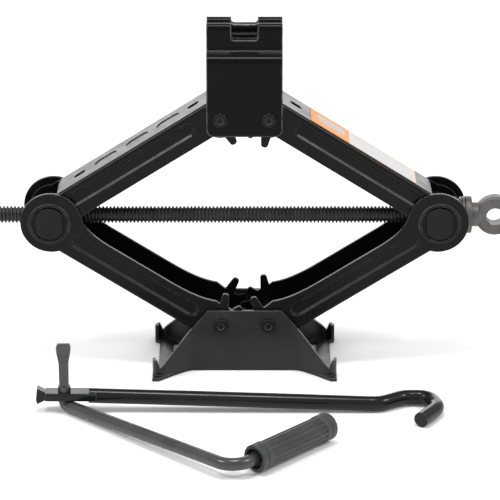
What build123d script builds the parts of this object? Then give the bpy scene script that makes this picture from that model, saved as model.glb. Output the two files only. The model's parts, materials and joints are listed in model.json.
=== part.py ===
from build123d import *
import math
import os

# Scissor jack with a four-arm diamond, a level drive screw and a loose folding crank.
# Millimetres.  X runs along the screw, +Y is the back, +Z is up.
# The origin is the middle of the base's underside.

# ---- Driving dimensions: the linkage ----
ARM_LENGTH = 164.0            # pivot to pivot
PIVOT_HALF = 19.4             # half the distance between the two pivots of the base or head
TRUNNION_X = 158.0            # trunnion axis from the middle, at rest
BASE_PIVOT_Z = 39.0
ARM_RISE = math.sqrt(ARM_LENGTH**2 - (TRUNNION_X - PIVOT_HALF)**2)
ARM_ANGLE = math.degrees(math.asin(ARM_RISE / ARM_LENGTH))
SCREW_Z = BASE_PIVOT_Z + ARM_RISE
HEAD_PIVOT_Z = SCREW_Z + ARM_RISE

# ---- Sheet metal ----
SHEET = 2.5
SIDE_GAP = 0.5                # between flanges that slide past each other
UPPER_HALF = 20.3             # outer half width of an upper arm
LOWER_HALF = UPPER_HALF + SIDE_GAP + SHEET
HEAD_HALF = LOWER_HALF
BASE_HALF = LOWER_HALF + SIDE_GAP + SHEET

# ---- Fits ----
RUNNING = 0.05                # radial clearance of a pin in its hole
LOOSE = 0.3                   # between parts that only pass each other
SEAT_GAP = 0.2                # under a cap that lies on a flat seat
FAR = 60.0                    # reach of a cut that must clear the part

# ---- Arms, measured from the arm's centre line ----
WEB_OFFSET = 16.6             # outside of the web
LIP_OFFSET = 9.4              # free edge of the flanges
WEB_FROM_GEAR = 1.0           # where the web starts, from the geared end's pivot
WEB_TO_TRUNNION = 18.0        # where it stops short of the trunnion
BEND_OUTER = 3.0
GROOVE_WIDTH = 11.0           # at the surface; the walls slope in
GROOVE_DEPTH = 1.5
GROOVE_SLOPE = 48.0           # degrees from square
UPPER_GROOVE_OFFSET = 5.6
LOWER_GROOVE_OFFSET = 1.4
GROOVE_MARGIN = 27.0          # from each pivot to the groove's end
LOWER_EAR_RADIUS = 24.8
UPPER_EAR_RADIUS = 19.0
EAR_SHIFT = 0.8               # the ear's centre lies this far inside the trunnion axis
LOWER_EAR_DROP = 1.3          # and this far towards the free edges
FLARE_LENGTH = 34.0           # from the ear's rim to the plain flange
GEAR_FLARE = (56.0, 14.0)     # where the free edge starts and ends its curve to the teeth
GEAR_FLARE_OFFSET = 15.4
RIM_OUTER = 16.9
RIM_INNER = 15.0
RIM_HEIGHT = 1.2
RIM_RECESS = 1.2              # the cap sits in a hollow pressed inside the rim

# ---- Gear teeth on the arms' ends ----
TOOTH_PITCH = 40.0            # degrees
TOOTH_COUNT = 5
TOOTH_OUTER = 22.4
TOOTH_ROOT = 15.6
TOOTH_TIP_WIDTH = 5.0
TOOTH_FOOT_WIDTH = 8.8
TOOTH_ROUND = 2.3
LOWER_LUG_RADIUS = 27.0       # the first tooth of a lower arm is a tall lug
UPPER_LUG_RADIUS = 23.9
FIRST_TOOTH = -66.6           # degrees from the arm's own direction
HALF_PITCH = TOOTH_PITCH / 2

# ---- Web pressings of the upper arms ----
WEB_SLOTS = (15.6, 125.0)     # from the geared end's pivot
WEB_SLOT_SIZE = (11.0, 7.0)
WEB_POCKETS = (40.0, 69.5, 100.0)
WEB_POCKET_SIZE = (22.0, 13.0)
WEB_POCKET_DEPTH = 0.7
LABEL_THICKNESS = 0.3
LABEL_HALF_WIDTH = 16.6
LABEL_ORANGE = (29.4, 66.5)
LABEL_WHITE = (66.5, 130.5)

# ---- Pins, rivets and trunnions ----
PIN_RADIUS = 5.0
RIVET_HEAD_RADIUS = 6.3
RIVET_HEAD_HEIGHT = 2.4
RIVET_ROUND = 1.6
RIVET_DIMPLE = (2.6, 0.8)     # radius and depth
BARREL_RADIUS = 13.5
BARREL_HALF = UPPER_HALF - SHEET - LOOSE
SHANK_RADIUS = 9.0
CAP_RADIUS = 13.4
CAP_FLAT = 10.8               # half width across the cap's two flats
CAP_HEIGHT = 2.4
CAP_START = LOWER_HALF - RIM_RECESS + SEAT_GAP
CAP_ROUND = 0.9

# ---- Screw ----
SCREW_RADIUS = 7.0
SCREW_MINOR = 5.5
SCREW_PITCH = 3.0
THREAD_CREST = SCREW_PITCH * 0.32
SCREW_LEFT = -226.0
THREAD_RIGHT = 138.0
TRUNNION_FLAT = 12.0          # flat seat of the thrust bearing, from the trunnion axis
BEARING_LENGTH = 7.0
BEARING_RADIUS = 14.4
BEARING_GROOVE = (2.4, 1.4)   # width and depth of the gap between the two races
WASHER_LENGTH = 2.3
WASHER_RADIUS = 14.9
COLLAR_START = TRUNNION_X + TRUNNION_FLAT + BEARING_LENGTH + WASHER_LENGTH + LOOSE
COLLAR_LENGTH = 5.3
COLLAR_RADIUS = 15.3
NECK_RADIUS = 10.0
NECK_LENGTH = 2.0
EYE_X = 204.0
EYE_RADIUS = 16.3
EYE_HALF_THICKNESS = 6.5
EYE_HOLE_RADIUS = 7.2
EYE_ROUND = 3.0

# ---- Base ----
BASE_TOP = 52.2
BASE_TOP_HALF = 30.0
BASE_SHOULDER_X = 45.0
BASE_SHOULDER_Z = 34.6
FOOT_X = 74.0
FOOT_Y = 50.0
FOOT_TIP_X = 69.0
FOOT_TIP_Z = 8.5
LIP_HEIGHT = 15.0
LIP_START_Y = 35.0
FOOT_BEND = 6.0
BASE_BEND = 14.0
FOOT_STEP = 4.0
FLOOR_X = 71.0
FLOOR_SLOT_X = 58.0
FLOOR_SLOT_Y = 17.0
FLOOR_SLOT_SIZE = (26.0, 4.5)

# ---- Head ----
HEAD_X = 30.4
HEAD_BOTTOM = 200.5
HEAD_CORNER = 6.0
LEDGE_LOW = 264.0             # the ledge slopes up from the wall to the saddle
LEDGE_HIGH = 269.6
LEDGE_BEND = 4.5
CREST_BEND = 3.2
SADDLE_BEND = 2.4
SADDLE_TOP = 291.0
SADDLE_HALF = 14.0
CREST_HALF = 6.2              # centre line of the saddle's inner walls
VALLEY_Z = 278.0
NOTCH_HALF = 10.6
BACK_NOTCH_Z = 285.5
NOTCH_ROUND = 2.5

# ---- Hooked crank rod ----
ROD_RADIUS = 6.0
ROD_Y = -110.0
HINGE_X = -143.0
HOOK_START_X = 100.0
ROD_RIGHT_Z = 6.2
ROD_FLAT_Z = 13.9             # height of the flattened end's middle
ROD_FLAT_X = -123.5           # where the round rod runs into the flattened end
ROD_FLAT_HALF = 3.3
ROD_TAIL_X = -158.0
ROD_TIP_X = -164.5
ROD_FLAT_WIDTH = 2 * ROD_RADIUS + 3.0
ROD_TIP_SPREAD = 3.4          # how far the tip stands above and below the flat
ROD_TIP_WIDTH = 8.0
HOOK_CREST_Y = -97.0
HOOK_POINTS = [(108.0, ROD_Y), (127.0, HOOK_CREST_Y), (148.0, HOOK_CREST_Y), (153.5, -118.0)]
HOOK_TIP = (138.5, -142.5)
HOOK_BENDS = [16.0, 16.0, 12.0, 14.0]

# ---- Folding crank ----
CRANK_RADIUS = 5.0
LEG_TOP = 57.5
LEG_ROUND = 36.0              # the leg's round bar ends this far below its top
# drop below the top, and size, of the hammered tip's sections
TIP_SECTIONS = [
    (37.0, (7.4, 6.6)),
    (15.0, (7.8, 7.4)),
    (8.0, (10.6, 5.0)),
    (3.0, (11.6, 4.2)),
    (0.0, (9.4, 3.8)),
]
CRANK_Z = 5.2
GRIP_Z = 11.6
CRANK_CORNER = (-7.5, -245.0)
CRANK_BENDS = [5.2, 16.0]
GRIP_END = (64.5, -166.1)
GRIP_OVERHANG = 0.5           # the sleeve reaches past the bar's end by this much
GRIP_RADIUS = 10.9
GRIP_BORE = CRANK_RADIUS + RUNNING
GRIP_LENGTH = 85.0
GRIP_BARREL_RADIUS = GRIP_RADIUS - 0.5
GRIP_COLLAR = 12.0
COLLAR_ROUND = 1.2
GRIP_FLUTES = 16
GRIP_FLUTE_RADIUS = 1.3
GRIP_WELL_RADIUS = 8.2        # a deeper hollow round the bar at the inner end
GRIP_WELL_DEPTH = 6.0
COLLAR_GROOVE = 0.7


def slab(sketch, y_low, y_high):
    """A plate: a sketch drawn in X and Z, from y_low to y_high."""
    return extrude(Plane.XZ.offset(-y_high) * sketch, amount=y_high - y_low, dir=(0, -1, 0))


def both_sides(sketch, inner, outer):
    """The same plate at the front and at the back."""
    return slab(sketch, inner, outer) + slab(sketch, -outer, -inner)


def y_cylinder(radius, y_low, y_high, x=0.0, z=0.0):
    """A cylinder along Y."""
    return slab(Pos(x, z) * Circle(radius), y_low, y_high)


def x_cylinder(radius, x_low, x_high, z=SCREW_Z):
    """A cylinder along X, on the screw's axis unless told otherwise."""
    length = x_high - x_low
    return Pos((x_low + x_high) / 2, 0, z) * Rot(0, 90, 0) * Cylinder(radius, length)


def block(x_span, y_span, z_span):
    """A box between two corners."""
    size = [high - low for low, high in (x_span, y_span, z_span)]
    middle = [(high + low) / 2 for low, high in (x_span, y_span, z_span)]
    return Pos(*middle) * Box(*size)


def tooth(angle, outer):
    """One gear tooth in the arm's own plane, pointing at angle from the pivot."""
    shape = Polygon(
        (0, -TOOTH_FOOT_WIDTH / 2),
        (TOOTH_ROOT - 3, -TOOTH_FOOT_WIDTH / 2),
        (outer, -TOOTH_TIP_WIDTH / 2),
        (outer, TOOTH_TIP_WIDTH / 2),
        (TOOTH_ROOT - 3, TOOTH_FOOT_WIDTH / 2),
        (0, TOOTH_FOOT_WIDTH / 2),
        align=None,
    )
    tips = shape.vertices().group_by(Axis.X)[-1]
    return Rot(0, 0, angle) * fillet(tips, TOOTH_ROUND)


def channel_outline():
    """An arm's plain stretch from the side: geared pivot at the origin, trunnion at +X, web at +Y."""
    end = ARM_LENGTH - EAR_SHIFT
    return Polygon((0, -LIP_OFFSET), (end, -LIP_OFFSET), (end, WEB_OFFSET), (0, WEB_OFFSET), align=None)


def gear_flare():
    """Where a lower arm's free edge dips towards its teeth."""
    start, end = GEAR_FLARE
    foot = (end, -GEAR_FLARE_OFFSET)
    return make_face([
        Spline((start, -LIP_OFFSET), foot, tangents=[(-1, 0), (-1, -0.45)]),
        Polyline(foot, (0, -TOOTH_ROOT + 2.0), (0, 0), (start, 0), (start, -LIP_OFFSET)),
    ])


def ear_outline(radius, drop):
    """The round ear at the trunnion, with a curved blend into the flange's free edge."""
    centre_x = ARM_LENGTH - EAR_SHIFT
    reach = radius * math.sin(math.radians(45))
    rim = (centre_x - reach, -drop - reach)
    far = (centre_x - reach - FLARE_LENGTH, -LIP_OFFSET)
    blend = make_face([
        Spline(rim, far, tangents=[(-1, 1), (-1, 0)]),
        Polyline(far, (far[0], 0), (centre_x, 0), rim),
    ])
    return blend + Pos(centre_x, -drop) * Circle(radius)


def gear_outline(first_tooth, lug_radius):
    """The geared end: a round root with a few coarse teeth."""
    teeth = []
    for index in range(TOOTH_COUNT):
        outer = lug_radius if index == 0 else TOOTH_OUTER
        teeth.append(tooth(first_tooth - index * TOOTH_PITCH, outer))
    return Circle(TOOTH_ROOT) + teeth


def groove(half_width, offset):
    """The long pressed groove in the outside of both flanges, with sloping walls."""
    length = ARM_LENGTH - 2 * GROOVE_MARGIN + GROOVE_WIDTH
    shape = Pos(ARM_LENGTH / 2, offset) * SlotOverall(length, GROOVE_WIDTH)
    front = Plane.XZ.offset(half_width) * shape
    cut = extrude(front, amount=GROOVE_DEPTH, dir=(0, 1, 0), taper=GROOVE_SLOPE)
    return cut + mirror(cut, about=Plane.XZ)


def bare_arm(half_width, flange, groove_offset, phases, lug_radius):
    """A pressed channel arm without its web pressings; phases are the front and back first teeth."""
    body = slab(channel_outline(), -half_width, half_width)
    corners = [edge for edge in body.edges().filter_by(Axis.X) if abs(edge.center().Z - WEB_OFFSET) < 0.01]
    body = fillet(corners, BEND_OUTER)
    inner = half_width - SHEET
    body -= block((-FAR, ARM_LENGTH + FAR), (-inner, inner), (-FAR, WEB_OFFSET - SHEET))
    body -= block((-FAR, WEB_FROM_GEAR), (-inner, inner), (-FAR, FAR))
    body -= block((ARM_LENGTH - WEB_TO_TRUNNION, ARM_LENGTH + FAR), (-inner, inner), (-FAR, FAR))
    body += both_sides(flange, inner, half_width)
    front_phase, back_phase = phases
    body += slab(gear_outline(front_phase, lug_radius), -half_width, -inner)
    body += slab(gear_outline(back_phase, lug_radius), inner, half_width)
    body -= y_cylinder(PIN_RADIUS + RUNNING, -FAR, FAR)
    body -= y_cylinder(SHANK_RADIUS + RUNNING, -FAR, FAR, x=ARM_LENGTH)
    return body - groove(half_width, groove_offset)


def lower_arm(phases):
    """A lower arm: its ears carry a raised rim and a shallow seat around each trunnion cap."""
    flange = ear_outline(LOWER_EAR_RADIUS, LOWER_EAR_DROP) + gear_flare()
    arm = bare_arm(LOWER_HALF, flange, LOWER_GROOVE_OFFSET, phases, LOWER_LUG_RADIUS)
    rim = Pos(ARM_LENGTH, 0) * (Circle(RIM_OUTER) - Circle(RIM_INNER))
    seat = Pos(ARM_LENGTH, 0) * Circle(RIM_INNER)
    arm += both_sides(rim, LOWER_HALF, LOWER_HALF + RIM_HEIGHT)
    return arm - both_sides(seat, LOWER_HALF - RIM_RECESS, LOWER_HALF + 1)


def web_cut(x, size, depth, slope=0.0):
    """An obround cut into the web from outside."""
    shape = Plane.XY.offset(WEB_OFFSET) * (Pos(x, 0) * SlotOverall(*size))
    return extrude(shape, amount=depth, dir=(0, 0, -1), taper=slope)


def upper_arm(phases):
    """An upper arm: its web has two slots and three pressed pockets."""
    ear = ear_outline(UPPER_EAR_RADIUS, 0)
    arm = bare_arm(UPPER_HALF, ear, UPPER_GROOVE_OFFSET, phases, UPPER_LUG_RADIUS)
    for x in WEB_SLOTS:
        arm -= web_cut(x, WEB_SLOT_SIZE, SHEET + 1)
    for x in WEB_POCKETS:
        arm -= web_cut(x, WEB_POCKET_SIZE, WEB_POCKET_DEPTH, GROOVE_SLOPE)
    return arm


def label(span):
    """A thin label on the web of an upper arm, in the arm's own frame."""
    return block(span, (-LABEL_HALF_WIDTH, LABEL_HALF_WIDTH), (WEB_OFFSET, WEB_OFFSET + LABEL_THICKNESS))


def place_lower_left(shape):
    """From an arm's own frame to the lower left arm's place."""
    return Pos(-PIVOT_HALF, 0, BASE_PIVOT_Z) * Rot(0, ARM_ANGLE - 180, 0) * shape


def to_right(shape):
    """The same piece on the other side of the diamond."""
    return mirror(shape, about=Plane.YZ)


def to_top(shape):
    """The same piece above the screw instead of below it."""
    return mirror(shape, about=Plane.XY.offset(SCREW_Z))


def base_front_view():
    """The base's side wall as seen from the front."""
    half = [
        (0, 0),
        (FOOT_X + SHEET, 0),
        (FOOT_X + SHEET, LIP_HEIGHT),
        (FOOT_X - SHEET, LIP_HEIGHT),
        (FOOT_TIP_X, FOOT_TIP_Z),
        (BASE_SHOULDER_X, BASE_SHOULDER_Z),
        (BASE_TOP_HALF, BASE_TOP),
        (0, BASE_TOP),
    ]
    right = Polygon(*half, align=None)
    return right + mirror(right, about=Plane.YZ)


def base():
    """The foot: a floor with splayed corners and two side walls that carry the lower pivots."""
    middle = BASE_HALF - SHEET / 2
    wall_line = FilletPolyline(
        (-FOOT_X, -LIP_START_Y),
        (-FOOT_X, -FOOT_Y),
        (-BASE_SHOULDER_X, -middle),
        (BASE_SHOULDER_X, -middle),
        (FOOT_X, -FOOT_Y),
        (FOOT_X, -LIP_START_Y),
        radius=[FOOT_BEND, BASE_BEND, BASE_BEND, FOOT_BEND],
    )
    front = extrude(trace(wall_line, line_width=SHEET), amount=BASE_TOP, dir=(0, 0, 1))
    wall_view = slab(base_front_view(), -2 * FOOT_Y, 0)
    front &= wall_view
    body = front + mirror(front, about=Plane.XZ)
    rim = FOOT_X + SHEET / 2
    quarter = [
        (0, 0),
        (FLOOR_X, 0),
        (FLOOR_X, -LIP_START_Y + FOOT_STEP),
        (rim, -LIP_START_Y),
        (rim, -FOOT_Y),
        (FOOT_X - FOOT_STEP, -FOOT_Y),
        (BASE_SHOULDER_X, -middle),
        (0, -middle),
    ]
    floor = Polygon(*quarter, align=None)
    floor += mirror(floor, about=Plane.YZ)
    floor += mirror(floor, about=Plane.XZ)
    for x in (-FLOOR_SLOT_X, FLOOR_SLOT_X):
        for y in (-FLOOR_SLOT_Y, FLOOR_SLOT_Y):
            floor -= Pos(x, y) * Rot(0, 0, 90) * SlotOverall(*FLOOR_SLOT_SIZE)
    body += extrude(floor, amount=SHEET, dir=(0, 0, 1))
    for x in (-PIVOT_HALF, PIVOT_HALF):
        body -= y_cylinder(PIN_RADIUS + RUNNING, -FOOT_Y, FOOT_Y, x, BASE_PIVOT_Z)
    return body


def head():
    """The head: two side walls, a ledge on each side and a saddle with a channel along X."""
    wall = HEAD_HALF - SHEET / 2
    saddle = SADDLE_HALF - SHEET / 2
    crest = SADDLE_TOP - SHEET / 2
    valley = VALLEY_Z - SHEET / 2
    half = [(wall, HEAD_BOTTOM), (wall, LEDGE_LOW), (saddle, LEDGE_HIGH)]
    half += [(saddle, crest), (CREST_HALF, crest)]
    points = half + [(CREST_HALF, valley), (-CREST_HALF, valley)]
    points += [(-y, z) for y, z in reversed(half)]
    bends = 2 * [LEDGE_BEND] + 2 * [CREST_BEND] + 2 * [SADDLE_BEND] + 2 * [CREST_BEND] + 2 * [LEDGE_BEND]
    section = trace(FilletPolyline(*points, radius=bends), line_width=SHEET)
    body = extrude(Plane.YZ.offset(-HEAD_X) * section, amount=2 * HEAD_X, dir=(1, 0, 0))
    view_height = SADDLE_TOP - HEAD_BOTTOM
    view = Pos(0, HEAD_BOTTOM + view_height / 2) * Rectangle(2 * HEAD_X, view_height)
    view = fillet(view.vertices().group_by(Axis.Y)[0], HEAD_CORNER)
    body &= slab(view, -2 * HEAD_HALF, 2 * HEAD_HALF)
    body -= notch(VALLEY_Z, -1)
    body -= notch(BACK_NOTCH_Z, 1)
    for x in (-PIVOT_HALF, PIVOT_HALF):
        body -= y_cylinder(PIN_RADIUS + RUNNING, -2 * HEAD_HALF, 2 * HEAD_HALF, x, HEAD_PIVOT_Z)
    return body


def notch(bottom, side):
    """The gap in one crest of the saddle; side is -1 at the front and 1 at the back."""
    height = SADDLE_TOP - bottom + SHEET
    view = Pos(0, bottom + height / 2) * Rectangle(2 * NOTCH_HALF, height)
    view = fillet(view.vertices().group_by(Axis.Y)[0], NOTCH_ROUND)
    spans = sorted((side * (CREST_HALF - SHEET), side * (SADDLE_HALF + SHEET)))
    return slab(view, *spans)


def end_edges(shape, y):
    """The edges of a shape's face at y."""
    return [edge for edge in shape.edges() if abs(edge.center().Y - y) < 0.01]


def rivet(x, z, outside):
    """A pivot pin with a low headed end on each side."""
    pin = y_cylinder(PIN_RADIUS, -outside, outside, x, z)
    dimple_radius, dimple_depth = RIVET_DIMPLE
    for side in (-1, 1):
        top = side * (outside + RIVET_HEAD_HEIGHT)
        cap = y_cylinder(RIVET_HEAD_RADIUS, *sorted((side * outside, top)), x, z)
        cap = fillet(end_edges(cap, top), RIVET_ROUND)
        pin += cap - y_cylinder(dimple_radius, *sorted((top, top - side * dimple_depth)), x, z)
    return pin


def trunnion(side):
    """The cross barrel that the screw runs through; side is -1 at the left and 1 at the right."""
    x = side * TRUNNION_X
    body = y_cylinder(BARREL_RADIUS, -BARREL_HALF, BARREL_HALF, x, SCREW_Z)
    body += y_cylinder(SHANK_RADIUS, -CAP_START, CAP_START, x, SCREW_Z)
    beyond = sorted((x + side * TRUNNION_FLAT, x + side * FAR))
    body -= block(beyond, (-FAR, FAR), (SCREW_Z - FAR, SCREW_Z + FAR))
    return body - x_cylinder(SCREW_RADIUS + LOOSE, x - FAR, x + FAR)


def trunnion_caps(side):
    """The two end caps of a trunnion: flat-sided discs in the ears' seats."""
    x = side * TRUNNION_X
    caps = []
    view = Circle(CAP_RADIUS) & Rectangle(2 * CAP_FLAT, 2 * CAP_RADIUS)
    for face in (-1, 1):
        outer = face * (CAP_START + CAP_HEIGHT)
        cap = slab(Pos(x, SCREW_Z) * view, *sorted((face * CAP_START, outer)))
        caps.append(fillet(end_edges(cap, outer), CAP_ROUND))
    return Compound(children=caps)


def screw():
    """The drive screw: ridges of the thread's section, and a plain journal in the right trunnion."""
    rings = int((THREAD_RIGHT - SCREW_LEFT - 2) / SCREW_PITCH)
    slope = (SCREW_PITCH - 2 * THREAD_CREST) / 2
    points = [(SCREW_LEFT, 0), (SCREW_LEFT, SCREW_MINOR), (SCREW_LEFT + 1, SCREW_MINOR)]
    for index in range(rings):
        start = SCREW_LEFT + 1 + index * SCREW_PITCH
        points.append((start + slope, SCREW_RADIUS))
        points.append((start + slope + THREAD_CREST, SCREW_RADIUS))
        points.append((start + 2 * slope + THREAD_CREST, SCREW_MINOR))
        points.append((start + SCREW_PITCH, SCREW_MINOR))
    end = points[-1][0]
    points += [(end + 1.0, SCREW_RADIUS), (COLLAR_START, SCREW_RADIUS), (COLLAR_START, 0)]
    face = make_face(Polyline(*points, close=True))
    return Pos(0, 0, SCREW_Z) * revolve(Plane.XZ * face, Axis.X)


def ring(outer, inner, x_low, x_high, edge):
    """A ring on the screw's axis with rounded rims."""
    body = x_cylinder(outer, x_low, x_high)
    body = fillet(body.edges().filter_by(GeomType.CIRCLE), edge)
    return body - x_cylinder(inner, x_low - 1, x_high + 1)


def thrust_bearing():
    """The ball thrust bearing against the right trunnion's flat."""
    start = TRUNNION_X + TRUNNION_FLAT
    body = ring(BEARING_RADIUS, SCREW_RADIUS + LOOSE, start, start + BEARING_LENGTH, 0.6)
    middle = start + BEARING_LENGTH / 2
    width, depth = BEARING_GROOVE
    waist = x_cylinder(BEARING_RADIUS + 1, middle - width / 2, middle + width / 2)
    return body - (waist - x_cylinder(BEARING_RADIUS - depth, middle - width, middle + width))


def thrust_washer():
    """The plain washer between the bearing and the screw's collar."""
    start = TRUNNION_X + TRUNNION_FLAT + BEARING_LENGTH
    return ring(WASHER_RADIUS, SCREW_RADIUS + LOOSE, start, start + WASHER_LENGTH, 0.5)


def screw_collar():
    """The collar that takes the screw's pull."""
    body = x_cylinder(COLLAR_RADIUS, COLLAR_START, COLLAR_START + COLLAR_LENGTH)
    return fillet(body.edges().filter_by(GeomType.CIRCLE), 1.0)


def screw_eye():
    """The forged eye that the crank hooks into."""
    start = COLLAR_START + COLLAR_LENGTH
    shoulder = start + NECK_LENGTH
    neck = x_cylinder(NECK_RADIUS, start, shoulder)
    root = Plane((shoulder, 0, SCREW_Z), x_dir=(0, 1, 0), z_dir=(1, 0, 0))
    tip = Plane((EYE_X - EYE_HOLE_RADIUS - EYE_ROUND, 0, SCREW_Z), x_dir=(0, 1, 0), z_dir=(1, 0, 0))
    blended = Ellipse(EYE_HALF_THICKNESS - LOOSE, EYE_RADIUS - 2 * EYE_ROUND)
    sections = [root * Circle(NECK_RADIUS), tip * blended]
    disc = y_cylinder(EYE_RADIUS, -EYE_HALF_THICKNESS, EYE_HALF_THICKNESS, EYE_X, SCREW_Z)
    disc = fillet(disc.edges().filter_by(GeomType.CIRCLE), EYE_ROUND)
    body = neck + loft(sections) + disc
    return body - y_cylinder(EYE_HOLE_RADIUS, -FAR, FAR, EYE_X, SCREW_Z)


def rod_height(x):
    """The rod's axis slopes from its flattened end, which lies on the crank, down to the hook."""
    share = (x - HINGE_X) / (HOOK_START_X - HINGE_X)
    return ROD_FLAT_Z + share * (ROD_RIGHT_Z - ROD_FLAT_Z)


def tube_along(path, radius):
    """A round bar along a path."""
    start = Plane(path @ 0, z_dir=path % 0)
    return sweep(start * Circle(radius), path=path)


def hook_rod():
    """The straight rod with a hook at the right and a drilled flat at the left."""
    points = [(ROD_FLAT_X, ROD_Y), (HOOK_START_X, ROD_Y)]
    line = Polyline(*[(x, y, rod_height(x)) for x, y in points])
    return tube_along(line, ROD_RADIUS) + hook_bend() + rod_flat()


def hook_bend():
    """The hook: a short swan neck and a turn back towards the rod, lying level."""
    outline = [(HOOK_START_X, ROD_Y), *HOOK_POINTS, HOOK_TIP]
    path = FilletPolyline(*[(x, y, ROD_RIGHT_Z) for x, y in outline], radius=HOOK_BENDS)
    return tube_along(path, ROD_RADIUS)


def rod_flat():
    """The rod's flattened left end, with the hinge hole and a spread tip."""
    low = ROD_FLAT_Z - ROD_FLAT_HALF
    high = ROD_FLAT_Z + ROD_FLAT_HALF
    side = ROD_FLAT_WIDTH / 2
    bar = block((ROD_TAIL_X, ROD_FLAT_X + ROD_RADIUS), (ROD_Y - side, ROD_Y + side), (low, high))
    bar = fillet(bar.edges().filter_by(Axis.X), 1.5)
    tip = Polygon(
        (ROD_TAIL_X + 1, low + 0.5),
        (ROD_TAIL_X + 1, high - 0.5),
        (ROD_TIP_X, high + ROD_TIP_SPREAD),
        (ROD_TIP_X - 1.0, low),
        (ROD_TIP_X, low - ROD_TIP_SPREAD),
        align=None,
    )
    bar += slab(tip, ROD_Y - ROD_TIP_WIDTH / 2, ROD_Y + ROD_TIP_WIDTH / 2)
    return bar - Pos(HINGE_X, ROD_Y, ROD_FLAT_Z) * Cylinder(CRANK_RADIUS + RUNNING, FAR)


def crank_line():
    """The crank's centre line: a standing leg, a long arm, and the grip's core."""
    points = [
        (HINGE_X, ROD_Y, LEG_TOP - LEG_ROUND),
        (HINGE_X, ROD_Y, CRANK_Z),
        (*CRANK_CORNER, GRIP_Z),
        (*GRIP_END, GRIP_Z),
    ]
    return FilletPolyline(*points, radius=CRANK_BENDS)


def crank_rod():
    """The folding crank: a bent bar with a hammered tip on its leg."""
    body = tube_along(crank_line(), CRANK_RADIUS)
    here = Pos(HINGE_X, ROD_Y)
    sections = [Plane.XY.offset(LEG_TOP - drop) * (here * Rectangle(*size)) for drop, size in TIP_SECTIONS]
    tip = loft(sections, ruled=True)
    return body + fillet(tip.edges().group_by(Axis.Z)[-1], COLLAR_ROUND)


def grip_frame():
    """A plane at the grip's outer end, its normal pointing back along the grip."""
    along = Vector(CRANK_CORNER[0] - GRIP_END[0], CRANK_CORNER[1] - GRIP_END[1], 0)
    return Plane((GRIP_END[0], GRIP_END[1], GRIP_Z), x_dir=(0, 0, 1), z_dir=along)


def crank_grip():
    """The plastic sleeve that turns on the crank: a fluted barrel between two plain collars."""
    fluted = Circle(GRIP_BARREL_RADIUS)
    for index in range(GRIP_FLUTES):
        angle = 360.0 * (index + 0.5) / GRIP_FLUTES
        fluted -= Rot(0, 0, angle) * Pos(GRIP_RADIUS, 0) * Circle(GRIP_FLUTE_RADIUS)
    body = extrude(fluted, amount=GRIP_LENGTH)
    collar = Cylinder(GRIP_RADIUS, GRIP_COLLAR)
    collar = fillet(collar.edges().filter_by(GeomType.CIRCLE), COLLAR_ROUND)
    line = Torus(GRIP_RADIUS, COLLAR_GROOVE)
    for middle in (GRIP_COLLAR / 2, GRIP_LENGTH - GRIP_COLLAR / 2):
        body += Pos(0, 0, middle) * collar
        body -= Pos(0, 0, middle) * line
    body -= Pos(0, 0, GRIP_LENGTH / 2) * Cylinder(GRIP_BORE, GRIP_LENGTH + 2)
    body -= Pos(0, 0, GRIP_LENGTH) * Cylinder(GRIP_WELL_RADIUS, 2 * GRIP_WELL_DEPTH)
    return grip_frame() * Pos(0, 0, -GRIP_OVERHANG) * body


def write(name, shape):
    """Save one piece."""
    export_step(shape, f"parts/{name}.step")


def build():
    os.makedirs("parts", exist_ok=True)
    leading = (FIRST_TOOTH, FIRST_TOOTH - HALF_PITCH)
    trailing = leading[::-1]
    write("base", base())
    write("base_rivet_left", rivet(-PIVOT_HALF, BASE_PIVOT_Z, BASE_HALF))
    write("base_rivet_right", rivet(PIVOT_HALF, BASE_PIVOT_Z, BASE_HALF))
    write("arm_lower_left", place_lower_left(lower_arm(leading)))
    write("arm_lower_right", to_right(place_lower_left(lower_arm(trailing))))
    write("arm_upper_left", to_top(place_lower_left(upper_arm(trailing))))
    write("arm_upper_right", to_right(to_top(place_lower_left(upper_arm(leading)))))
    write("label_orange", to_right(to_top(place_lower_left(label(LABEL_ORANGE)))))
    write("label_white", to_right(to_top(place_lower_left(label(LABEL_WHITE)))))
    write("head", head())
    write("head_rivet_left", rivet(-PIVOT_HALF, HEAD_PIVOT_Z, HEAD_HALF))
    write("head_rivet_right", rivet(PIVOT_HALF, HEAD_PIVOT_Z, HEAD_HALF))
    for name, side in (("left", -1), ("right", 1)):
        write(f"trunnion_{name}", trunnion(side))
        write(f"trunnion_caps_{name}", trunnion_caps(side))
    write("screw", screw())
    write("thrust_bearing", thrust_bearing())
    write("thrust_washer", thrust_washer())
    write("screw_collar", screw_collar())
    write("screw_eye", screw_eye())
    write("hook_rod", hook_rod())
    write("crank_rod", crank_rod())
    write("crank_grip", crank_grip())


build()
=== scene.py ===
import bpy
import bmesh
import json
import math
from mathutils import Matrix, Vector


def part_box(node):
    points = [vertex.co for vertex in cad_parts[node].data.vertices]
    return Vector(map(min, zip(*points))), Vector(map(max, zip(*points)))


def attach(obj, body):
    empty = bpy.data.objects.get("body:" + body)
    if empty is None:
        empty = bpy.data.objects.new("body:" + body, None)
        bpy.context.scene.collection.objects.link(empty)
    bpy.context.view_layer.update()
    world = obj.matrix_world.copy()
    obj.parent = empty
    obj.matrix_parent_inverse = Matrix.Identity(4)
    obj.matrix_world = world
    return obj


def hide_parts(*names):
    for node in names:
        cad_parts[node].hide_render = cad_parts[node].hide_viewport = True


# Scissor jack: materials, the helical thread, studio and camera.  Metres, in the CAD frame.

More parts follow.
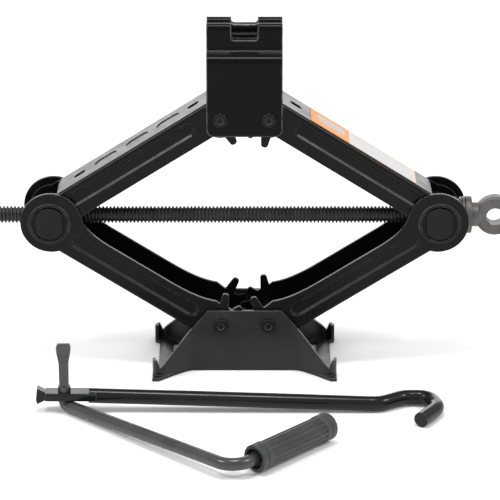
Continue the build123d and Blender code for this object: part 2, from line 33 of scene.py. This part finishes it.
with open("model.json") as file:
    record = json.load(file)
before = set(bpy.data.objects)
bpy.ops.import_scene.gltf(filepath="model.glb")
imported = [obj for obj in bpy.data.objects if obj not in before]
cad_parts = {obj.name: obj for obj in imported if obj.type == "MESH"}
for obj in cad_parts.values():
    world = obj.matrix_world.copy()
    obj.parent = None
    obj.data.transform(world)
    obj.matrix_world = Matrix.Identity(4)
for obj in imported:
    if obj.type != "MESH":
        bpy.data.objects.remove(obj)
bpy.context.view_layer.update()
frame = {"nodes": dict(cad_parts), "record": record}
JOINTS = {joint["name"]: joint for joint in frame["record"]["behaviour"]["joints"]}
MM = 0.001
WEB_OFFSET = 0.0166          # from an arm's centre line to the outside of its web

# Drive screw
PITCH = 3.0 * MM
THREAD_DEPTH = 1.5 * MM
CREST_SHARE = 0.32           # width of a crest, as a share of the pitch
FLANK_SHARE = 0.18           # width of a flank, as a share of the pitch
CHAMFER = 1.0 * MM           # at the free end
JOURNAL_START = 20.0 * MM    # the plain journal starts this far left of the screw's joint
CORE_RISE = 0.02 * MM        # the core stands this far above the thread's root
SHOULDER_LOW = 0.5 * MM      # the core rises to the journal between these two distances before it
SHOULDER_HIGH = 0.2 * MM

# Labels
RULE_SPACING = 0.0042
RULE_INSET = 0.002
RULE_BAND = (0.40, 0.60)     # the share of each spacing that is printed
INK = (0.34, 0.33, 0.33)
GRIME = (0.40, 0.38, 0.36)
LABELS = (                   # name, ground, panel, margins at the start, end, near and far sides
    ("label_orange", (0.66, 0.28, 0.11), (0.44, 0.42, 0.41), (0.007, 0.005, 0.012, 0.007)),
    ("label_white", (0.72, 0.42, 0.27), (0.52, 0.52, 0.52), (0.0, 0.0012, 0.0, 0.0012)),
)

# Studio
WORLD_STRENGTH = 0.80
FLOOR_REACH = 8.0
FLOOR_GAP = 0.0004           # keeps the floor clear of the faces that rest on it
FLOOR_GREY = 0.95
LIGHT_TARGET = (0.0, 0.0, 0.12)
LIGHTS = (                   # name, place, width, height, power
    ("key", (-1.5, -0.66, 1.7), 0.40, 0.40, 18.0),
    ("fill", (1.5, -0.66, 1.7), 0.40, 0.40, 15.0),
    ("top", (0.0, -0.377, 2.21), 0.40, 0.40, 15.0),
    ("back", (0.0, 3.0, 0.9), 3.2, 1.4, 34.0),
)

# Camera
ELEVATION = 20.3             # degrees above the horizontal
DISTANCE = 2.4
TARGET = (0.0044, 0.0, 0.0956)
SENSOR_WIDTH = 36.0          # millimetres
PIXELS_PER_MM = 1.22         # at the target
FRAME_PIXELS = 500.0


# ---------------------------------------------------------------- node helpers

def new_material(name):
    """An empty material; returns the material, its tree and its shader."""
    material = bpy.data.materials.new(name)
    material.use_nodes = True
    tree = material.node_tree
    shader = tree.nodes["Principled BSDF"]
    return material, tree, shader


def object_point(tree):
    return tree.nodes.new("ShaderNodeTexCoord").outputs["Object"]


def noise(tree, point, scale, detail=4.0, roughness=0.55):
    made = tree.nodes.new("ShaderNodeTexNoise")
    made.inputs["Scale"].default_value = scale
    made.inputs["Detail"].default_value = detail
    made.inputs["Roughness"].default_value = roughness
    tree.links.new(point, made.inputs["Vector"])
    return made.outputs["Fac"]


def ramp(tree, value, stops):
    """A colour ramp from (position, colour) stops."""
    made = tree.nodes.new("ShaderNodeValToRGB")
    elements = made.color_ramp.elements
    while len(elements) < len(stops):
        elements.new(0.5)
    for element, (position, colour) in zip(elements, stops):
        element.position = position
        element.color = (*colour, 1.0)
    tree.links.new(value, made.inputs["Fac"])
    return made.outputs["Color"]


def spread(tree, value, low, high, from_low=0.0, from_high=1.0):
    """A value mapped from one range to another, clamped."""
    made = tree.nodes.new("ShaderNodeMapRange")
    made.inputs["From Min"].default_value = from_low
    made.inputs["From Max"].default_value = from_high
    made.inputs["To Min"].default_value = low
    made.inputs["To Max"].default_value = high
    tree.links.new(value, made.inputs["Value"])
    return made.outputs["Result"]


def maths(tree, operation, first, second=None):
    """A math node over one or two values, each a number or a socket."""
    made = tree.nodes.new("ShaderNodeMath")
    made.operation = operation
    for socket, value in zip(made.inputs, (first, second)):
        if value is None:
            continue
        if isinstance(value, (int, float)):
            socket.default_value = value
        else:
            tree.links.new(value, socket)
    return made.outputs["Value"]


def mix_colour(tree, factor, first, second):
    """Two colours mixed by a socket; each colour is a tuple or a socket."""
    made = tree.nodes.new("ShaderNodeMix")
    made.data_type = "RGBA"
    for name, value in (("Factor", factor), ("A", first), ("B", second)):
        socket = next(s for s in made.inputs if s.name == name and s.enabled)
        if isinstance(value, tuple):
            socket.default_value = (*value, 1.0)
        else:
            tree.links.new(value, socket)
    return next(s for s in made.outputs if s.enabled)


def rounded_normal(tree, radius):
    """Normals that round every sharp edge by a small radius."""
    made = tree.nodes.new("ShaderNodeBevel")
    made.samples = 6
    made.inputs["Radius"].default_value = radius
    return made.outputs["Normal"]


def edge_mask(tree, rounded):
    """1 on sharp edges, 0 on flat faces."""
    geometry = tree.nodes.new("ShaderNodeNewGeometry")
    dot = tree.nodes.new("ShaderNodeVectorMath")
    dot.operation = "DOT_PRODUCT"
    tree.links.new(rounded, dot.inputs[0])
    tree.links.new(geometry.outputs["Normal"], dot.inputs[1])
    return spread(tree, dot.outputs["Value"], low=1.0, high=0.0, from_low=0.80, from_high=0.995)


def bump(tree, height, strength, distance, normal=None):
    made = tree.nodes.new("ShaderNodeBump")
    made.inputs["Strength"].default_value = strength
    made.inputs["Distance"].default_value = distance
    tree.links.new(height, made.inputs["Height"])
    if normal is not None:
        tree.links.new(normal, made.inputs["Normal"])
    return made.outputs["Normal"]


def band(tree, value, low, high):
    """1 where value is between low and high."""
    above = maths(tree, "GREATER_THAN", value, low)
    below = maths(tree, "LESS_THAN", value, high)
    return maths(tree, "MULTIPLY", above, below)


def product(tree, *values):
    result = values[0]
    for value in values[1:]:
        result = maths(tree, "MULTIPLY", result, value)
    return result


# ---------------------------------------------------------------- materials

def enamel(name, dark, light, rough, gloss, edge=0.9, bend=0.8, edge_wear_and_highlight=(0.19, 0.188, 0.185)):
    """Black stoving enamel: orange peel, uneven gloss, dust specks, and edges paled towards grey, partly
    thin worn paint and partly a painted highlight for bright edge reflections.

    edge is how strongly the edges are paled, bend is the edges' radius in mm, and the last argument is
    their pale grey: part worn metal, part painted highlight.
    """
    material, tree, shader = new_material(name)
    point = object_point(tree)
    cloud = noise(tree, point, scale=38.0, detail=5.0)
    speck = noise(tree, point, scale=2200.0, detail=2.0, roughness=0.7)
    peel = noise(tree, point, scale=620.0, detail=3.0, roughness=0.5)
    rounded = rounded_normal(tree, bend * MM)
    base = ramp(tree, cloud, [(0.3, dark), (0.72, light)])
    dust = spread(tree, speck, low=0.0, high=0.4, from_low=0.70, from_high=0.80)
    dusted = mix_colour(tree, dust, base, tuple(4.0 * c for c in light))
    patches = noise(tree, point, scale=160.0)
    rubbed = spread(tree, patches, low=0.4 * edge, high=edge, from_low=0.40, from_high=0.60)
    wear_and_highlight_mask = maths(tree, "MULTIPLY", edge_mask(tree, rounded), rubbed)
    # Edges mixed towards pale grey: partly worn paint, partly a painted highlight standing in for edge
    # reflections.
    colour = mix_colour(tree, wear_and_highlight_mask, dusted, edge_wear_and_highlight)
    tree.links.new(colour, shader.inputs["Base Color"])
    sheen = noise(tree, point, scale=75.0, detail=6.0, roughness=0.6)
    uneven = spread(tree, sheen, low=rough - 0.05, high=rough + 0.07, from_low=0.3, from_high=0.7)
    tree.links.new(uneven, shader.inputs["Roughness"])
    tree.links.new(bump(tree, peel, 0.10, 0.12 * MM, rounded), shader.inputs["Normal"])
    shader.inputs["IOR"].default_value = 1.42
    shader.inputs["Specular IOR Level"].default_value = gloss
    return material


def plated(name, base, rough, grain=1.0):
    """Dull zinc-plated steel with a cloudy, slightly pitted surface."""
    material, tree, shader = new_material(name)
    point = object_point(tree)
    cloud = noise(tree, point, scale=120.0, detail=6.0, roughness=0.62)
    pits = noise(tree, point, scale=900.0, detail=4.0, roughness=0.7)
    darker = tuple(0.62 * c for c in base)
    lighter = tuple(min(1.0, 1.22 * c) for c in base)
    rounded = rounded_normal(tree, 0.6 * MM)
    clouded = ramp(tree, cloud, [(0.28, darker), (0.5, base), (0.75, lighter)])
    tree.links.new(clouded, shader.inputs["Base Color"])
    uneven = spread(tree, cloud, low=rough - 0.10, high=rough + 0.14, from_low=0.3, from_high=0.7)
    tree.links.new(uneven, shader.inputs["Roughness"])
    tree.links.new(bump(tree, pits, 0.35 * grain, 0.25 * MM, rounded), shader.inputs["Normal"])
    shader.inputs["Metallic"].default_value = 0.62
    return material


def blackened(name):
    """Oiled black-oxide thread: dark flanks and rubbed crests."""
    material, tree, shader = new_material(name)
    point = object_point(tree)
    cloud = noise(tree, point, scale=90.0, detail=5.0)
    fine = noise(tree, point, scale=1300.0, detail=4.0, roughness=0.7)
    base = ramp(tree, cloud, [(0.3, (0.018, 0.018, 0.019)), (0.7, (0.045, 0.044, 0.043))])
    rounded = rounded_normal(tree, 0.25 * MM)
    patches = spread(tree, fine, low=0.2, high=0.9, from_low=0.35, from_high=0.65)
    rubbed = maths(tree, "MULTIPLY", edge_mask(tree, rounded), patches)
    tree.links.new(mix_colour(tree, rubbed, base, (0.16, 0.155, 0.15)), shader.inputs["Base Color"])
    uneven = spread(tree, cloud, low=0.30, high=0.50, from_low=0.3, from_high=0.7)
    tree.links.new(uneven, shader.inputs["Roughness"])
    tree.links.new(bump(tree, fine, 0.3, 0.08 * MM, rounded), shader.inputs["Normal"])
    shader.inputs["Metallic"].default_value = 0.55
    return material


def moulded(name):
    """Black moulded plastic with a fine spark-eroded grain."""
    material, tree, shader = new_material(name)
    point = object_point(tree)
    grain = noise(tree, point, scale=1500.0, detail=5.0, roughness=0.65)
    cloud = noise(tree, point, scale=60.0, detail=4.0)
    base = ramp(tree, cloud, [(0.3, (0.020, 0.020, 0.021)), (0.7, (0.034, 0.034, 0.035))])
    tree.links.new(base, shader.inputs["Base Color"])
    uneven = spread(tree, cloud, low=0.36, high=0.5, from_low=0.3, from_high=0.7)
    tree.links.new(uneven, shader.inputs["Roughness"])
    rounded = rounded_normal(tree, 0.5 * MM)
    tree.links.new(bump(tree, grain, 0.4, 0.15 * MM, rounded), shader.inputs["Normal"])
    return material


def along_arm(tree, origin, direction):
    """The object point, its distance along the arm from origin, and its Y across the arm."""
    point = object_point(tree)
    offset = tree.nodes.new("ShaderNodeVectorMath")
    offset.operation = "SUBTRACT"
    tree.links.new(point, offset.inputs[0])
    offset.inputs[1].default_value = origin
    dot = tree.nodes.new("ShaderNodeVectorMath")
    dot.operation = "DOT_PRODUCT"
    tree.links.new(offset.outputs["Vector"], dot.inputs[0])
    dot.inputs[1].default_value = direction
    split = tree.nodes.new("ShaderNodeSeparateXYZ")
    tree.links.new(point, split.inputs["Vector"])
    return point, dot.outputs["Value"], split.outputs["Y"]


def vinyl(name, origin, direction, length, half_width, ground, panel, margins):
    """A printed label: a ground colour, a pale panel and plain grey rules that say nothing."""
    material, tree, shader = new_material(name)
    point, along, across = along_arm(tree, origin, direction)
    start, end, near, far = margins
    inside = product(tree, band(tree, along, start, length - end),
                     band(tree, across, near - half_width, half_width - far))
    rules = maths(tree, "FRACT", maths(tree, "MULTIPLY", across, 1.0 / RULE_SPACING))
    rule_mask = product(tree, inside, band(tree, rules, *RULE_BAND),
                        band(tree, along, start + RULE_INSET, length - end - RULE_INSET))
    blotch = noise(tree, point, scale=240.0, detail=4.0)
    faded = spread(tree, blotch, low=0.15, high=0.6, from_low=0.3, from_high=0.7)
    colour = mix_colour(tree, inside, ground, panel)
    colour = mix_colour(tree, maths(tree, "MULTIPLY", rule_mask, faded), colour, INK)
    smears = noise(tree, point, scale=90.0, detail=6.0)
    grime = spread(tree, smears, low=0.0, high=0.08, from_low=0.45, from_high=0.75)
    colour = mix_colour(tree, grime, colour, GRIME)
    tree.links.new(colour, shader.inputs["Base Color"])
    tree.links.new(spread(tree, blotch, low=0.52, high=0.64), shader.inputs["Roughness"])
    ripple = noise(tree, point, scale=380.0, detail=3.0)
    tree.links.new(bump(tree, ripple, 0.12, 0.1 * MM), shader.inputs["Normal"])
    shader.inputs["Specular IOR Level"].default_value = 0.12
    return material


def dress(material, *names):
    """Give CAD nodes a material in place of their plain one."""
    for name in names:
        mesh = frame["nodes"][name].data
        mesh.materials.clear()
        mesh.materials.append(material)


# ---------------------------------------------------------------- the helical thread

def finished_mesh(name, working):
    """A Blender mesh from a bmesh, which is freed."""
    made = bpy.data.meshes.new(name)
    working.to_mesh(made)
    working.free()
    return made


def thread_mesh(name, x_low, x_high, pitch, major, minor, centre_z, steps=36):
    """A single-start trapezoidal thread, cut square at both ends."""
    crest = CREST_SHARE * pitch
    flank = FLANK_SHARE * pitch
    profile = [(0.0, minor), (flank, major), (flank + crest, major), (2 * flank + crest, minor)]
    turns = int((x_high - x_low) / pitch) + 2
    rows = []
    mesh = bmesh.new()
    for step in range(turns * steps + 1):
        angle = 2 * math.pi * step / steps
        shift = x_low + pitch * (step / steps - 1)
        row = []
        for offset, radius in profile:
            x = min(max(shift + offset, x_low), x_high)
            row.append(mesh.verts.new((x, radius * math.cos(angle), centre_z + radius * math.sin(angle))))
        rows.append(row)
    for step in range(turns * steps):
        here, after = rows[step], rows[step + 1]
        for k in range(3):
            mesh.faces.new((here[k], here[k + 1], after[k + 1], after[k]))
        if step + steps + 1 < len(rows):
            mesh.faces.new((here[3], rows[step + steps][0], rows[step + steps + 1][0], after[3]))
    bmesh.ops.dissolve_degenerate(mesh, dist=1e-7, edges=mesh.edges[:])
    return finished_mesh(name, mesh)


def turned(name, outline, centre_z, segments=72):
    """A solid of revolution about the screw's axis, from (x, radius) points."""
    mesh = bmesh.new()
    rings = []
    for x, radius in outline:
        if radius < 1e-9:
            rings.append([mesh.verts.new((x, 0, centre_z))])
            continue
        ring = []
        for index in range(segments):
            angle = 2 * math.pi * index / segments
            ring.append(mesh.verts.new((x, radius * math.cos(angle), centre_z + radius * math.sin(angle))))
        rings.append(ring)
    for first, second in zip(rings, rings[1:]):
        for index in range(segments):
            after = (index + 1) % segments
            corners = [first[index % len(first)], first[after % len(first)],
                       second[after % len(second)], second[index % len(second)]]
            unique = []
            for corner in corners:
                if corner not in unique:
                    unique.append(corner)
            mesh.faces.new(unique)
    bmesh.ops.recalc_face_normals(mesh, faces=mesh.faces[:])
    return finished_mesh(name, mesh)


def shaded_object(name, mesh, material, angle=30.0):
    """An object with smooth shading that stays sharp at edges over the angle."""
    made = bpy.data.objects.new(name, mesh)
    bpy.context.scene.collection.objects.link(made)
    mesh.materials.append(material)
    mesh.polygons.foreach_set("use_smooth", [True] * len(mesh.polygons))
    mesh.set_sharp_from_angle(angle=math.radians(angle))
    return made


def drive_screw(material):
    """The threaded bar and its plain journal, in place of the ringed CAD screw."""
    low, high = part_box("screw")
    centre_z = (low.z + high.z) / 2
    major = (high.z - low.z) / 2
    minor = major - THREAD_DEPTH
    journal = JOINTS["screw_turn"]["pos_m"][0] - JOURNAL_START
    thread = thread_mesh("thread", low.x + CHAMFER, journal, PITCH, major, minor, centre_z)
    root = minor + CORE_RISE
    outline = [
        (low.x, 0), (low.x, minor - CHAMFER / 2), (low.x + CHAMFER, root),
        (journal - SHOULDER_LOW, root), (journal - SHOULDER_HIGH, major), (high.x, major), (high.x, 0),
    ]
    core = shaded_object("screw_core", turned("screw_core", outline, centre_z), material)
    bar = shaded_object("screw_thread", thread, material, angle=25.0)
    for piece in (core, bar):
        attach(piece, "screw")
    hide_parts("screw")
    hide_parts("screw")


# ---------------------------------------------------------------- studio

def area_light(name, place, width, height, power):
    """A rectangular softbox that faces the middle of the jack."""
    data = bpy.data.lights.new(name, "AREA")
    data.shape = "RECTANGLE"
    data.size = width
    data.size_y = height
    data.energy = power
    made = bpy.data.objects.new(name, data)
    made.location = place
    made.rotation_euler = (Vector(LIGHT_TARGET) - Vector(place)).to_track_quat("-Z", "Y").to_euler()
    bpy.context.scene.collection.objects.link(made)


def studio():
    """A pale floor, a white world and soft area lights."""
    scene = bpy.context.scene
    world = bpy.data.worlds.new("studio")
    scene.world = world
    world.use_nodes = True
    background = world.node_tree.nodes["Background"]
    background.inputs["Color"].default_value = (1.0, 1.0, 1.0, 1.0)
    background.inputs["Strength"].default_value = WORLD_STRENGTH
    mesh = bpy.data.meshes.new("floor")
    corners = [(-FLOOR_REACH, -FLOOR_REACH, 0), (FLOOR_REACH, -FLOOR_REACH, 0),
               (FLOOR_REACH, FLOOR_REACH, 0), (-FLOOR_REACH, FLOOR_REACH, 0)]
    mesh.from_pydata(corners, [], [(0, 1, 2, 3)])
    floor = bpy.data.objects.new("floor", mesh)
    floor.location.z = -FLOOR_GAP
    scene.collection.objects.link(floor)
    material, _, shader = new_material("floor")
    shader.inputs["Base Color"].default_value = (FLOOR_GREY, FLOOR_GREY, FLOOR_GREY, 1.0)
    shader.inputs["Roughness"].default_value = 0.9
    mesh.materials.append(material)
    for light in LIGHTS:
        area_light(*light)
    scene.view_settings.view_transform = "Standard"


def camera():
    """A long lens, a little above the jack, square to its front."""
    elevation = math.radians(ELEVATION)
    data = bpy.data.cameras.new("camera")
    data.sensor_width = SENSOR_WIDTH
    data.lens = SENSOR_WIDTH * PIXELS_PER_MM * DISTANCE / (FRAME_PIXELS * MM)
    made = bpy.data.objects.new("camera", data)
    backwards = Vector((0.0, -math.cos(elevation), math.sin(elevation)))
    made.location = Vector(TARGET) + DISTANCE * backwards
    made.rotation_euler = (math.pi / 2 - elevation, 0.0, 0.0)
    bpy.context.scene.collection.objects.link(made)
    bpy.context.scene.camera = made


# ---------------------------------------------------------------- build

def arm_frame():
    """The right upper arm's pivot and its direction towards the trunnion."""
    elbow = Vector(JOINTS["elbow_right"]["pos_m"])
    head = Vector(JOINTS["head_level"]["pos_m"])
    head.x = -head.x
    return head, (elbow - head).normalized()


PAINT = enamel("black_enamel", (0.0030, 0.0030, 0.0032), (0.0050, 0.0050, 0.0052),
               rough=0.26, gloss=0.17)
# The head's enamel: the arms' black paint made darker, a painted shade for the dark reflection on the
# head's front.
HEAD_PAINT_SHADED = enamel("head_enamel_painted_shade", (0.0016, 0.0016, 0.0018), (0.0030, 0.0030, 0.0032),
                    rough=0.16, gloss=0.12, edge=1.0, bend=2.2)
# The base's enamel: the arms' black paint made lighter, painted light for the brighter front walls of the
# base.
BASE_PAINT_LIGHTENED = enamel("base_enamel_painted_light", (0.0105, 0.0105, 0.011), (0.020, 0.020, 0.0205),
                    rough=0.34, gloss=0.34)
GLOSS_PAINT = enamel("gloss_enamel", (0.0035, 0.0035, 0.0037), (0.0070, 0.0070, 0.0072),
                     rough=0.20, gloss=0.34, edge=0.6)
RIVET = enamel("rivet_enamel", (0.0036, 0.0036, 0.0038), (0.0072, 0.0072, 0.0074),
               rough=0.30, gloss=0.22)
ZINC = plated("zinc_plate", (0.100, 0.098, 0.095), rough=0.44)
BEARING = plated("bearing_steel", (0.10, 0.10, 0.102), rough=0.36, grain=0.5)
CRANK = enamel("crank_enamel", (0.020, 0.020, 0.021), (0.036, 0.036, 0.037),
               rough=0.26, gloss=0.80, edge=0.6)
THREAD = blackened("oiled_thread")
PLASTIC = moulded("moulded_plastic")

dress(BASE_PAINT_LIGHTENED, "base")
dress(PAINT, "arm_lower_left", "arm_lower_right", "arm_upper_left", "arm_upper_right")
dress(HEAD_PAINT_SHADED, "head")
dress(RIVET, "base_rivet_left", "base_rivet_right", "head_rivet_left", "head_rivet_right",
      "trunnion_left", "trunnion_right", "trunnion_caps_left", "trunnion_caps_right")
dress(ZINC, "thrust_washer", "screw_collar", "screw_eye")
dress(BEARING, "thrust_bearing")
dress(GLOSS_PAINT, "hook_rod")
dress(CRANK, "crank_rod")
dress(PLASTIC, "crank_grip")

HEAD_PIVOT, ARM_DIRECTION = arm_frame()
for label_name, ground, panel, margins in LABELS:
    near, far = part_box(label_name)
    half = (far.y - near.y) / 2
    start = (near.x - HEAD_PIVOT.x + WEB_OFFSET * ARM_DIRECTION.z) / ARM_DIRECTION.x
    length = (far.x - near.x) / ARM_DIRECTION.x
    origin = HEAD_PIVOT + ARM_DIRECTION * start
    dress(vinyl(label_name, origin, ARM_DIRECTION, length, half, ground, panel, margins), label_name)

drive_screw(THREAD)
studio()
camera()
